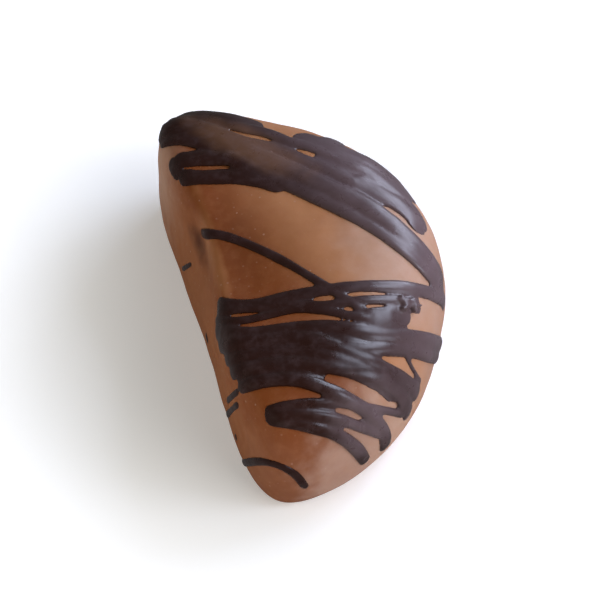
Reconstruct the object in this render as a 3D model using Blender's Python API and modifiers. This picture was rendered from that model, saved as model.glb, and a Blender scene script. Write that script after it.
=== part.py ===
"""Glace apricot slice: half a flattened apricot under a milk chocolate coat, with dark chocolate drizzle.

The half lies on its flat base with the broad face up. The cut edge runs along Y on the -X side and the
round side bulges to +X. Sizes are in millimetres and become metres where the mesh is made.
"""
import math

import bmesh
import bpy
from mathutils import Vector
from mathutils.bvhtree import BVHTree

MM = 0.001

# Plan outline of the coat as (across, along), anticlockwise from the near tip: along the round side to
# the far tip, then back down the cut edge. A smooth curve through these stations gives every column.
NEAR_TIP = (4.0, -1.7)
ROUND_SIDE = ((13.6, -0.4), (22.2, 5.7), (28.4, 15.6), (31.8, 27.8), (27.4, 40.3), (17.0, 49.0))
FAR_TIP = ((7.2, 52.6), (0.1, 49.8))
CUT_EDGE = ((0.0, 37.0), (0.8, 21.0), (1.0, 7.2))
OUTLINE = (NEAR_TIP, *ROUND_SIDE, *FAR_TIP, *CUT_EDGE)
# How far each station is cut edge (1) and not round side (0).
CUT_SHARE = (0.35, 0.0, 0.0, 0.0, 0.0, 0.0, 0.0, 0.15, 0.8, 1.0, 1.0, 0.9)
SPANS_PER_STATION = 2

# Wall profiles from the base up: (inset from the outline, share of the height).
ROUND_PROFILE = ((5.0, 0.0), (1.8, 0.0), (0.3, 0.16), (0.0, 0.42), (0.9, 0.72), (3.4, 0.925), (7.5, 1.0))
CUT_PROFILE = ((4.0, 0.0), (0.9, 0.0), (0.1, 0.12), (0.0, 0.45), (0.1, 0.82), (0.9, 0.985), (3.2, 1.0))
# The insets point at a spine along the middle of the face.
SPINE_ACROSS = 12.0
SPINE_NEAR = 13.0
SPINE_FAR = 40.0
SPINE_SQUEEZE = 0.62
SPINE_START = 10.2

# Height of the broad face, and how much of it is lost towards the tips and the round side.
THICKNESS = 18.0
MIDDLE_ALONG = 27.0
HALF_LENGTH = 28.0
TIP_DROP = 0.10
CROWN_ACROSS = 10.0
ROUND_REACH = 20.0
ROUND_DROP = 0.10

# The shallow hollow where the stone lay, on the face by the cut edge. A fade is the share of the height
# over which a form comes in, from none to all of it.
STONE_HOLLOW = {"across": 4.5, "along": 22.0, "reach_across": 7.0, "reach_along": 9.0, "depth": 1.4,
                "fade": (0.3, 1.0)}
# The rim of the cut edge leans in along its middle, and a notch lies just under it.
RIM_LEAN = {"along": 29.0, "reach": 11.0, "width": 7.0, "depth": 1.3, "fade": (0.1, 0.9)}
RIM_NOTCH = {"along": 30.0, "reach": 4.0, "width": 4.0, "share": 0.8, "share_reach": 0.14, "depth": 0.8}

# Quads of the face between the near and far tips, and across it.
FACE_ACROSS = 4
FACE_ALONG = 8
COAT_LEVELS = 2

# The box centre of the whole piece in (across, along), which becomes the origin.
ORIGIN_ACROSS = 15.53
ORIGIN_ALONG = 25.11

# The line of sight that the photograph is taken along, and where it meets the picture.
VIEW_AZIMUTH = math.radians(-13.6)
VIEW_ELEVATION = math.radians(50.0)
VIEW_DISTANCE = 360.0
VIEW_AIM = Vector((15.3, 27.0, 8.0))
AIM_PIXEL = (314.4, 275.4)
PIXELS_PER_MM = 8.2

# Drizzle: a strand's width, crown height, how far it runs on over the rim at its start and end, and the
# pixels of the photograph that its middle line passes through.
STRANDS = {
    "band_low": (2.3, 0.7, 0.8, 2.5, (
        (162, 138.5), (186, 138), (220, 149.5), (262, 171), (300, 188.5), (340, 207), (380, 230),
        (415, 257), (438, 284))),
    "band_middle": (2.6, 0.8, 1.5, 3.0, (
        (160, 132), (185, 129), (220, 139), (260, 157), (300, 175), (340, 193), (380, 215.5), (412, 242),
        (437, 271))),
    "band_ridge": (2.2, 0.75, 1.5, 0.0, (
        (164, 127), (190, 123.5), (222, 135.5), (242, 142), (262, 145.5), (280, 149.5), (300, 158),
        (322, 166.5), (348, 179), (376, 196))),
    "band_top": (1.7, 0.6, 2.0, 0.0, (
        (170, 121), (198, 118), (226, 122.5), (245, 127.5), (262, 130.5), (276, 135), (288, 140.5),
        (304, 144.5), (322, 150.5), (345, 161.5), (372, 177), (394, 191))),
    "band_rim": (2.7, 0.55, 1.0, 0.0, ((176, 116.5), (204, 113), (230, 117), (248, 121), (264, 125.5))),
    "band_back": (3.4, 0.65, 0.0, 4.0, (
        (293, 133.5), (314, 139.5), (333, 146.5), (352, 154.5), (372, 165), (392, 179.5))),
    "band_lump": (2.0, 0.9, 0.0, 0.0, ((318, 138), (332, 141), (345, 147))),
    "band_outer": (2.0, 0.5, 0.0, 1.0, (
        (336, 157), (356, 166), (374, 175.5), (391, 187), (405, 199), (416, 212), (424, 226))),
    "band_fork": (3.0, 0.7, 0.0, 1.0, (
        (350, 179), (368, 187.5), (384, 195.5), (397, 202.5), (408, 211), (415, 219.5), (420, 229))),
    "loop_turn": (1.7, 0.6, 0.0, 0.0, ((171, 156), (173, 165), (180, 177))),
    "loop_upper": (2.6, 0.85, 0.0, 0.0, ((173, 160), (188, 158), (204, 157), (232, 158.5), (262, 171))),
    "loop_lower": (2.35, 0.7, 0.0, 0.0, ((179, 176), (204, 176), (236, 175.5), (262, 179), (285, 188))),
    "middle_first": (1.75, 0.65, 0.0, 3.0, (
        (217, 302), (252, 303), (286, 296), (322, 289.5), (362, 285), (400, 286), (425, 290.5),
        (441, 297))),
    "middle_second": (1.35, 0.6, 0.0, 0.0, (
        (217, 310), (252, 307.5), (275, 304.5), (300, 304), (322, 304.5), (340, 302), (362, 299),
        (390, 298.5), (412, 300))),
    "middle_third": (1.2, 0.55, 0.0, 0.0, (
        (216, 320), (240, 319.5), (262, 315.5), (280, 310.5), (300, 307.5), (322, 309), (344, 313),
        (366, 316), (386, 315))),
    "middle_fourth": (2.0, 0.7, 0.0, 2.0, (
        (216, 331), (250, 333), (276, 330), (302, 327), (330, 325.5), (352, 328), (376, 332.5), (400, 334.5),
        (422, 338.5), (440, 343.5))),
    "sweep_first": (2.2, 0.8, 0.0, 1.5, (
        (219, 343), (254, 340), (290, 337), (318, 341), (342, 349), (366, 360), (388, 371.5), (404, 381),
        (416, 391))),
    "sweep_second": (2.0, 0.7, 0.0, 0.0, (
        (225, 357), (250, 354), (280, 348.5), (310, 351), (340, 359.5), (368, 371), (389, 384), (402, 397),
        (407, 409), (407, 417))),
    "sweep_third": (1.9, 0.7, 0.0, 0.0, (
        (230, 371), (262, 366), (296, 362.5), (332, 366), (362, 371.5), (384, 380), (398, 391.5),
        (404, 403), (405, 412))),
    "sweep_fourth": (1.7, 0.6, 0.0, 0.0, ((258, 375), (292, 373), (326, 375))),
    "sweep_last": (1.7, 0.95, 0.0, 1.0, (
        (238, 386), (262, 380.5), (288, 378.5), (310, 382), (330, 389.5), (349, 399), (366, 409.5),
        (377, 421), (384, 433), (385, 445))),
    "short_right": (1.7, 0.7, 0.0, 2.5, ((340, 346), (364, 348), (388, 348), (410, 349.5), (438, 356))),
    "puddle": (3.2, 0.95, 0.0, 0.0, ((361, 320), (378, 318), (396, 315), (410, 310))),
    "puddle_drop": (2.3, 0.9, 0.0, 0.0, ((406, 301), (415, 304), (420, 312))),
    "long_thin": (1.2, 0.5, 0.0, 0.0, (
        (201, 232), (224, 234.5), (252, 244.5), (284, 260), (318, 280), (346, 298), (368, 311))),
    "thread": (0.6, 0.35, 0.0, 0.0, ((397, 341), (404, 351), (409, 361), (415, 372), (421, 381))),
    "tip_upper": (0.95, 0.6, 0.0, 0.0, (
        (264, 409.5), (280, 405), (300, 401.5), (322, 401), (346, 402.5), (372, 406.5), (388, 409.5),
        (404, 413))),
    "tip_middle": (1.25, 0.8, 0.0, 0.0, (
        (264, 413.5), (290, 412.5), (318, 413.5), (340, 418), (354, 423), (368, 428), (382, 432.5))),
    "tip_lower": (1.55, 0.85, 0.0, 1.0, (
        (265, 417.5), (290, 420.5), (312, 425), (332, 431), (346, 438.5), (357, 448), (365, 459))),
    "arc": (1.0, 0.45, 2.0, 0.5, ((242, 461.5), (262, 460), (280, 464.5), (295, 473), (305, 485))),
    "wall_bar_upper": (0.8, 0.3, 0.0, 0.0, ((239, 389), (233, 394), (227, 400))),
    "wall_bar_lower": (0.8, 0.3, 0.0, 0.0, ((239, 402), (233, 407), (227, 414))),
    "wall_dot": (0.8, 0.35, 0.0, 0.0, ((236, 432), (236, 439))),
    "wall_spot": (1.0, 0.4, 0.0, 0.0, ((206, 330), (208, 343))),
    "wall_tick": (0.6, 0.3, 0.0, 0.0, ((182, 268), (192, 262))),
}
# A strand's crest shows this many pixels above its foot, so the foot is placed that much lower.
CREST_PIXELS = 1.5
# A strand has a point at each step, which is shorter on a thin one, given in widths.
STRAND_STEP = 2.3
STEP_WIDTHS = 1.25
TUBE_ROUNDNESS = 2
POINTS_PER_SPAN = 8
SETTLE_ROUNDS = 6
MARCH_STEP = 0.7
# How fast a strand that runs on turns downhill, and how low it may come.
DOWNHILL_PULL = 0.35
LOWEST_RUN = 1.4
# A strand's end is rounded over this many widths, down to this share of its radius.
END_WIDTHS = 0.6
END_SHARE = 0.35

# Closer than this two points are one, and a base point is flat.
SAME_PLACE = 1e-4

MILK_COLOUR = (0.27, 0.115, 0.052, 1.0)
MILK_ROUGHNESS = 0.38
DARK_COLOUR = (0.035, 0.014, 0.009, 1.0)
DARK_ROUGHNESS = 0.34


def blend(low, high, value):
    """Return the smooth step from 0 at low to 1 at high."""
    share = min(1.0, max(0.0, (value - low) / (high - low)))
    return share * share * (3.0 - 2.0 * share)


def curve_point(before, start, end, after, share):
    """Return the point of a Catmull-Rom curve between start and end."""
    square = share * share
    cube = square * share
    return 0.5 * (2.0 * start + (end - before) * share
                  + (2.0 * before - 5.0 * start + 4.0 * end - after) * square
                  + (3.0 * start - before - 3.0 * end + after) * cube)


def closed_columns():
    """Return each column of the coat as (plan point, cut share)."""
    stations = [Vector((*place, cut)) for place, cut in zip(OUTLINE, CUT_SHARE)]
    count = len(stations)
    columns = []
    for index in range(count):
        around = [stations[(index + shift) % count] for shift in (-1, 0, 1, 2)]
        for part in range(SPANS_PER_STATION):
            point = curve_point(*around, part / SPANS_PER_STATION)
            columns.append((point.xy, min(1.0, max(0.0, point.z))))
    return columns


def wall_rings(columns):
    """Return the coat's rings from the base up, each a list of (across, along, share of height)."""
    rings = []
    for (round_inset, round_share), (cut_inset, cut_share) in zip(ROUND_PROFILE, CUT_PROFILE):
        ring = []
        for place, cut in columns:
            squeezed = place.y * SPINE_SQUEEZE + SPINE_START
            spine = Vector((SPINE_ACROSS, min(SPINE_FAR, max(SPINE_NEAR, squeezed))))
            inset = round_inset * (1.0 - cut) + cut_inset * cut
            share = round_share * (1.0 - cut) + cut_share * cut
            moved = place + (spine - place).normalized() * inset
            ring.append(Vector((moved.x, moved.y, share)))
        rings.append(ring)
    return rings


def fill_ring(bm, ring, height):
    """Fill a closed ring of vertices with a grid of quads at one height."""
    near = ring[:FACE_ACROSS + 1]
    outer = ring[FACE_ACROSS:FACE_ACROSS + FACE_ALONG + 1]
    far = ring[FACE_ACROSS + FACE_ALONG:2 * FACE_ACROSS + FACE_ALONG + 1][::-1]
    cut = [ring[0], *ring[:2 * FACE_ACROSS + FACE_ALONG - 1:-1]]
    corner_mix = (near[0].co, near[-1].co, far[0].co, far[-1].co)
    grid = {}
    for i in range(FACE_ACROSS + 1):
        for j in range(FACE_ALONG + 1):
            u, v = i / FACE_ACROSS, j / FACE_ALONG
            if j == 0:
                grid[i, j] = near[i]
            elif j == FACE_ALONG:
                grid[i, j] = far[i]
            elif i == 0:
                grid[i, j] = cut[j]
            elif i == FACE_ACROSS:
                grid[i, j] = outer[j]
            else:
                place = (1 - v) * near[i].co + v * far[i].co + (1 - u) * cut[j].co + u * outer[j].co
                weights = ((1 - u) * (1 - v), u * (1 - v), (1 - u) * v, u * v)
                for weight, corner in zip(weights, corner_mix):
                    place -= weight * corner
                place.z = height
                grid[i, j] = bm.verts.new(place)
    for i in range(FACE_ACROSS):
        for j in range(FACE_ALONG):
            bm.faces.new((grid[i, j], grid[i + 1, j], grid[i + 1, j + 1], grid[i, j + 1]))


def make_cage():
    """Return the coarse cage of the coat, with shares of the height for z."""
    columns = closed_columns()
    bm = bmesh.new()
    rings = [[bm.verts.new(place) for place in ring] for ring in wall_rings(columns)]
    count = len(columns)
    for lower, upper in zip(rings, rings[1:]):
        for i in range(count):
            j = (i + 1) % count
            bm.faces.new((lower[i], lower[j], upper[j], upper[i]))
    fill_ring(bm, rings[-1], 1.0)
    fill_ring(bm, rings[0], 0.0)
    bmesh.ops.recalc_face_normals(bm, faces=bm.faces)
    mesh = bpy.data.meshes.new("coat_cage")
    bm.to_mesh(mesh)
    bm.free()
    return mesh


def face_height(across, along):
    """Return the height of the broad face above the base."""
    tips = 1.0 - TIP_DROP * ((along - MIDDLE_ALONG) / HALF_LENGTH) ** 2
    side = 1.0 - ROUND_DROP * (max(0.0, across - CROWN_ACROSS) / ROUND_REACH) ** 2
    return THICKNESS * tips * side


def shaped(place):
    """Return a cage point (across, along, share of height) as a point of the coat in millimetres."""
    across, along, share = place
    height = share * face_height(across, along)
    off_across = (across - STONE_HOLLOW["across"]) / STONE_HOLLOW["reach_across"]
    off_along = (along - STONE_HOLLOW["along"]) / STONE_HOLLOW["reach_along"]
    dip = STONE_HOLLOW["depth"] * math.exp(-(off_across ** 2 + off_along ** 2))
    height -= dip * blend(*STONE_HOLLOW["fade"], share)
    lean = RIM_LEAN["depth"] * math.exp(-((along - RIM_LEAN["along"]) / RIM_LEAN["reach"]) ** 2)
    lean *= blend(RIM_LEAN["width"], 0.0, across) * blend(*RIM_LEAN["fade"], share)
    off_notch = (along - RIM_NOTCH["along"]) / RIM_NOTCH["reach"]
    off_share = (share - RIM_NOTCH["share"]) / RIM_NOTCH["share_reach"]
    notch = RIM_NOTCH["depth"] * math.exp(-(off_notch ** 2 + off_share ** 2))
    notch *= blend(RIM_NOTCH["width"], 0.0, across)
    return Vector((across + lean + notch, along, height))


def evaluated_mesh(item):
    """Return a new mesh of an object with its modifiers."""
    graph = bpy.context.evaluated_depsgraph_get()
    return bpy.data.meshes.new_from_object(item.evaluated_get(graph))


def make_coat(collection):
    """Build the coat: the cage, smoothed by subdivision, then given its height and hollows."""
    coat = bpy.data.objects.new("coated_slice", make_cage())
    collection.objects.link(coat)
    smooth = coat.modifiers.new("smooth", "SUBSURF")
    smooth.levels = COAT_LEVELS
    smooth.render_levels = COAT_LEVELS
    mesh = evaluated_mesh(coat)
    coat.modifiers.clear()
    coat.data = mesh
    for vertex in mesh.vertices:
        vertex.co = shaped(vertex.co)
    flatten_base(mesh)
    return coat


def flatten_base(mesh):
    """Join the flat faces of the base into one."""
    bm = bmesh.new()
    bm.from_mesh(mesh)
    flat = [face for face in bm.faces if all(abs(corner.co.z) < SAME_PLACE for corner in face.verts)]
    bmesh.ops.dissolve_faces(bm, faces=flat, use_verts=False)
    bm.to_mesh(mesh)
    bm.free()


def sight_axes():
    """Return the eye and the picture's right, up and backward directions."""
    back = Vector((math.sin(VIEW_AZIMUTH) * math.cos(VIEW_ELEVATION),
                   -math.cos(VIEW_AZIMUTH) * math.cos(VIEW_ELEVATION), math.sin(VIEW_ELEVATION)))
    right = Vector((math.cos(VIEW_AZIMUTH), math.sin(VIEW_AZIMUTH), 0.0))
    return VIEW_AIM + back * VIEW_DISTANCE, right, back.cross(right), back


def on_coat(tree, pixel):
    """Return the point of the coat that a pixel shows, or the nearest one to its line of sight."""
    eye, right, up, back = sight_axes()
    aside = (pixel.x - AIM_PIXEL[0]) / (PIXELS_PER_MM * VIEW_DISTANCE)
    above = (AIM_PIXEL[1] - pixel.y) / (PIXELS_PER_MM * VIEW_DISTANCE)
    sight = (right * aside + up * above - back).normalized()
    hit = tree.ray_cast(eye, sight)[0]
    if hit is not None:
        return hit
    place = VIEW_AIM
    for _ in range(SETTLE_ROUNDS):
        place = eye + sight * (place - eye).dot(sight)
        place = tree.find_nearest(place)[0]
    return place


def run_on(tree, start, heading, length):
    """Follow the coat from start, turning downhill where it is steep."""
    places = []
    place = start
    normal = tree.find_nearest(start)[1]
    for _ in range(round(length / MARCH_STEP)):
        pull = DOWNHILL_PULL * (1.0 - abs(normal.z))
        ahead = heading * (1.0 - pull) + Vector((0.0, 0.0, -pull))
        ahead = (ahead - normal * ahead.dot(normal)).normalized()
        next_place, normal = tree.find_nearest(place + ahead * MARCH_STEP)[:2]
        if next_place.z < LOWEST_RUN:
            break
        heading = (next_place - place).normalized()
        place = next_place
        places.append(place)
    return places


def strand_line(tree, pixels, before, after):
    """Return a strand's middle line on the coat."""
    knots = [Vector((x, y + CREST_PIXELS)) for x, y in pixels]
    knots = [2 * knots[0] - knots[1], *knots, 2 * knots[-1] - knots[-2]]
    line = []
    for index in range(1, len(knots) - 2):
        for part in range(POINTS_PER_SPAN):
            line.append(on_coat(tree, curve_point(*knots[index - 1:index + 3], part / POINTS_PER_SPAN)))
    line.append(on_coat(tree, knots[-2]))
    if before:
        line = run_on(tree, line[0], (line[0] - line[2]).normalized(), before)[::-1] + line
    if after:
        line = line + run_on(tree, line[-1], (line[-1] - line[-3]).normalized(), after)
    return line


def even_steps(line, step):
    """Return a line's points again at even distances, and its length."""
    reached = [0.0]
    for start, end in zip(line, line[1:]):
        reached.append(reached[-1] + (end - start).length)
    count = max(2, round(reached[-1] / step))
    places = []
    index = 0
    for part in range(count + 1):
        target = reached[-1] * part / count
        while index < len(line) - 2 and reached[index + 1] < target:
            index += 1
        span = max(1e-9, reached[index + 1] - reached[index])
        share = min(1.0, max(0.0, (target - reached[index]) / span))
        places.append(line[index].lerp(line[index + 1], share))
    return places, reached[-1]


def make_strand(tree, collection, name, width, crown, before, after, pixels):
    """Build one strand as a round tube sunk in the coat until its crown and width are left."""
    radius = (width * width / 4.0 + crown * crown) / (2.0 * crown)
    step = min(STRAND_STEP, width * STEP_WIDTHS)
    places, length = even_steps(strand_line(tree, pixels, before, after), step)
    curve = bpy.data.curves.new(name, "CURVE")
    curve.dimensions = "3D"
    curve.bevel_depth = radius
    curve.bevel_resolution = TUBE_ROUNDNESS
    curve.use_fill_caps = True
    spline = curve.splines.new("POLY")
    spline.points.add(len(places) - 1)
    for index, place in enumerate(places):
        from_end = length * min(index, len(places) - 1 - index) / (len(places) - 1)
        share = min(1.0, from_end / (END_WIDTHS * width))
        share = max(END_SHARE, math.sqrt(1.0 - (1.0 - share) ** 2))
        normal = tree.find_nearest(place)[1]
        centre = place - normal * (radius - crown) * share
        spline.points[index].co = (*centre, 1.0)
        spline.points[index].radius = share
    guide = bpy.data.objects.new(name, curve)
    collection.objects.link(guide)
    mesh = evaluated_mesh(guide)
    bm = bmesh.new()
    bm.from_mesh(mesh)
    bmesh.ops.remove_doubles(bm, verts=bm.verts, dist=SAME_PLACE)
    bmesh.ops.recalc_face_normals(bm, faces=bm.faces)
    bm.to_mesh(mesh)
    bm.free()
    strand = bpy.data.objects.new(f"{name}_mesh", mesh)
    strand.matrix_world = guide.matrix_world
    collection.objects.link(strand)
    bpy.data.objects.remove(guide)
    return strand


def surface_tree(item):
    """Return a search tree of an object's faces."""
    bm = bmesh.new()
    bm.from_mesh(item.data)
    tree = BVHTree.FromBMesh(bm)
    bm.free()
    return tree


def make_material(name, colour, roughness):
    """Return a plain material."""
    material = bpy.data.materials.new(name)
    material.use_nodes = True
    shader = material.node_tree.nodes["Principled BSDF"]
    shader.inputs["Base Color"].default_value = colour
    shader.inputs["Roughness"].default_value = roughness
    shader.inputs["Metallic"].default_value = 0.0
    return material


def fuse(coat, collection):
    """Join the strands to the coat with one union and remove them."""
    union = coat.modifiers.new("drizzle", "BOOLEAN")
    union.operation = "UNION"
    union.operand_type = "COLLECTION"
    union.collection = collection
    union.solver = "EXACT"
    mesh = evaluated_mesh(coat)
    coat.modifiers.clear()
    coat.data = mesh
    for item in list(collection.objects):
        bpy.data.objects.remove(item)


def keep_largest_body(mesh):
    """Drop loose scraps, so that one closed body is left."""
    bm = bmesh.new()
    bm.from_mesh(mesh)
    unseen = set(bm.verts)
    bodies = []
    while unseen:
        body = set()
        edge_of_body = [unseen.pop()]
        while edge_of_body:
            vertex = edge_of_body.pop()
            body.add(vertex)
            for edge in vertex.link_edges:
                other = edge.other_vert(vertex)
                if other in unseen:
                    unseen.remove(other)
                    edge_of_body.append(other)
        bodies.append(body)
    bodies.sort(key=len)
    for body in bodies[:-1]:
        bmesh.ops.delete(bm, geom=list(body), context="VERTS")
    bm.to_mesh(mesh)
    bm.free()


def to_metres(mesh):
    """Move the origin to the middle of the base and change millimetres to metres."""
    for vertex in mesh.vertices:
        across, along, height = vertex.co
        vertex.co = ((across - ORIGIN_ACROSS) * MM, (along - ORIGIN_ALONG) * MM, height * MM)


def main():
    """Build the coated slice."""
    for item in list(bpy.data.objects):
        bpy.data.objects.remove(item)
    parts = bpy.data.collections.new("glace_apricot_slice")
    strands = bpy.data.collections.new("drizzle_strands")
    for collection in (parts, strands):
        bpy.context.scene.collection.children.link(collection)
    coat = make_coat(parts)
    tree = surface_tree(coat)
    milk = make_material("milk_chocolate_coat", MILK_COLOUR, MILK_ROUGHNESS)
    dark = make_material("dark_chocolate_drizzle", DARK_COLOUR, DARK_ROUGHNESS)
    coat.data.materials.append(milk)
    for name, (width, crown, before, after, pixels) in STRANDS.items():
        strand = make_strand(tree, strands, name, width, crown, before, after, pixels)
        strand.data.materials.append(dark)
    fuse(coat, strands)
    keep_largest_body(coat.data)
    to_metres(coat.data)
    coat.data.shade_smooth()


main()
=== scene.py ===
"""Looks of the glace apricot slice: a milk chocolate coat and the dark chocolate drizzled over it.

The coat repeats the form of the CAD slice with a finer surface. The drizzle's strands follow the coat and
run together where they touch. Sizes are in millimetres, except where a comment says metres, and become
metres where a mesh is made.
"""
import math
import random

import bmesh
import bpy
from bpy.props import FloatProperty, FloatVectorProperty, IntProperty, PointerProperty
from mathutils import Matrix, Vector, noise
from mathutils.bvhtree import BVHTree
from mathutils.kdtree import KDTree


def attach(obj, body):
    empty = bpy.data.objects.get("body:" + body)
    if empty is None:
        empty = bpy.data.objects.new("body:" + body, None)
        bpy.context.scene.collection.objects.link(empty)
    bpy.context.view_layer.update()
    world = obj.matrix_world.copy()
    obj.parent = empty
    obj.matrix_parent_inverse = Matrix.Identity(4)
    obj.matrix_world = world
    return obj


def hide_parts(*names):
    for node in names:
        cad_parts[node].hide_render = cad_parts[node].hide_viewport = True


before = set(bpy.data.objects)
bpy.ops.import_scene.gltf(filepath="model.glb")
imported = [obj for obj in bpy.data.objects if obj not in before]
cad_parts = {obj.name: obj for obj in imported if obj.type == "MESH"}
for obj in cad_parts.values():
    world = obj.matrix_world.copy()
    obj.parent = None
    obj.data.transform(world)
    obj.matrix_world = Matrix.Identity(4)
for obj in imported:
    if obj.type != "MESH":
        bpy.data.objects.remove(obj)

bl_info = {
    "name": "Glace apricot slice",
    "version": (1, 0, 0),
    "blender": (4, 5, 0),
    "location": "3D View > Sidebar > Slice",
    "description": "Makes a coated and drizzled half of a glace apricot",
    "category": "Object",
}

MM = 0.001
NODE = "coated_slice"

# Plan outline of the coat as (across, along), anticlockwise from the near tip.
NEAR_TIP = (4.0, -1.7)
ROUND_SIDE = ((13.6, -0.4), (22.2, 5.7), (28.4, 15.6), (31.8, 27.8), (27.4, 40.3), (17.0, 49.0))
FAR_TIP = ((7.2, 52.6), (0.1, 49.8))
CUT_EDGE = ((0.0, 37.0), (0.8, 21.0), (1.0, 7.2))
OUTLINE = (NEAR_TIP, *ROUND_SIDE, *FAR_TIP, *CUT_EDGE)
# How far each outline point's wall is the cut wall's, from 0 for the round side's up to 1.
CUT_SHARE = (0.35, 0.0, 0.0, 0.0, 0.0, 0.0, 0.0, 0.15, 0.8, 1.0, 1.0, 0.9)
# Columns to each stretch between two outline points.
SPANS_PER_STATION = 2

# Wall profiles from the base up: (inset from the outline, share of the height).
ROUND_PROFILE = ((5.0, 0.0), (1.8, 0.0), (0.3, 0.16), (0.0, 0.42), (0.9, 0.72), (3.4, 0.925), (7.5, 1.0))
CUT_PROFILE = ((4.0, 0.0), (0.9, 0.0), (0.1, 0.12), (0.0, 0.45), (0.1, 0.82), (0.9, 0.985), (3.2, 1.0))
# The walls step in towards a spine along the middle, on which each column has its own place.
SPINE_ACROSS = 12.0
SPINE_NEAR = 13.0
SPINE_FAR = 40.0
SPINE_SQUEEZE = 0.62
SPINE_START = 10.2
# Quads across and along the broad face and the base.
FACE_ACROSS = 4
FACE_ALONG = 8

# Height of the broad face: it drops by a share towards the tips and towards the round side. By the cut edge
# it has a wide hollow, and the cut rim leans in and is notched.
MIDDLE_ALONG = 27.0
HALF_LENGTH = 28.0
TIP_DROP = 0.10
CROWN_ACROSS = 10.0
ROUND_REACH = 20.0
ROUND_DROP = 0.10
STONE_HOLLOW = {"across": 4.5, "along": 22.0, "reach_across": 7.0, "reach_along": 9.0, "depth": 1.4,
                "fade": (0.3, 1.0)}
RIM_LEAN = {"along": 29.0, "reach": 11.0, "width": 7.0, "depth": 1.3, "fade": (0.1, 0.9)}
RIM_NOTCH = {"along": 30.0, "reach": 4.0, "width": 4.0, "share": 0.8, "share_reach": 0.14, "depth": 0.8}
# Middle of the base on the plan.
ORIGIN_ACROSS = 15.53
ORIGIN_ALONG = 25.11
# The coat's soft lumps: finer ones ride on them, of this share of their depth and this many to each, and all
# fade out below this height in millimetres.
FINE_LUMP_SHARE = 0.35
FINE_LUMPS = 2.7
LUMPS_FULL = 3.0

# The photograph's line of sight, which the camera takes and the strands are placed along.
VIEW_AZIMUTH = math.radians(-13.6)
VIEW_ELEVATION = math.radians(50.0)
VIEW_DISTANCE = 360.0
VIEW_AIM = Vector((15.3, 27.0, 8.0))
AIM_PIXEL = (314.4, 275.4)
PIXELS_PER_MM = 8.2
PHOTO_SIDE = 600.0
SENSOR_WIDTH = 36.0

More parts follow.
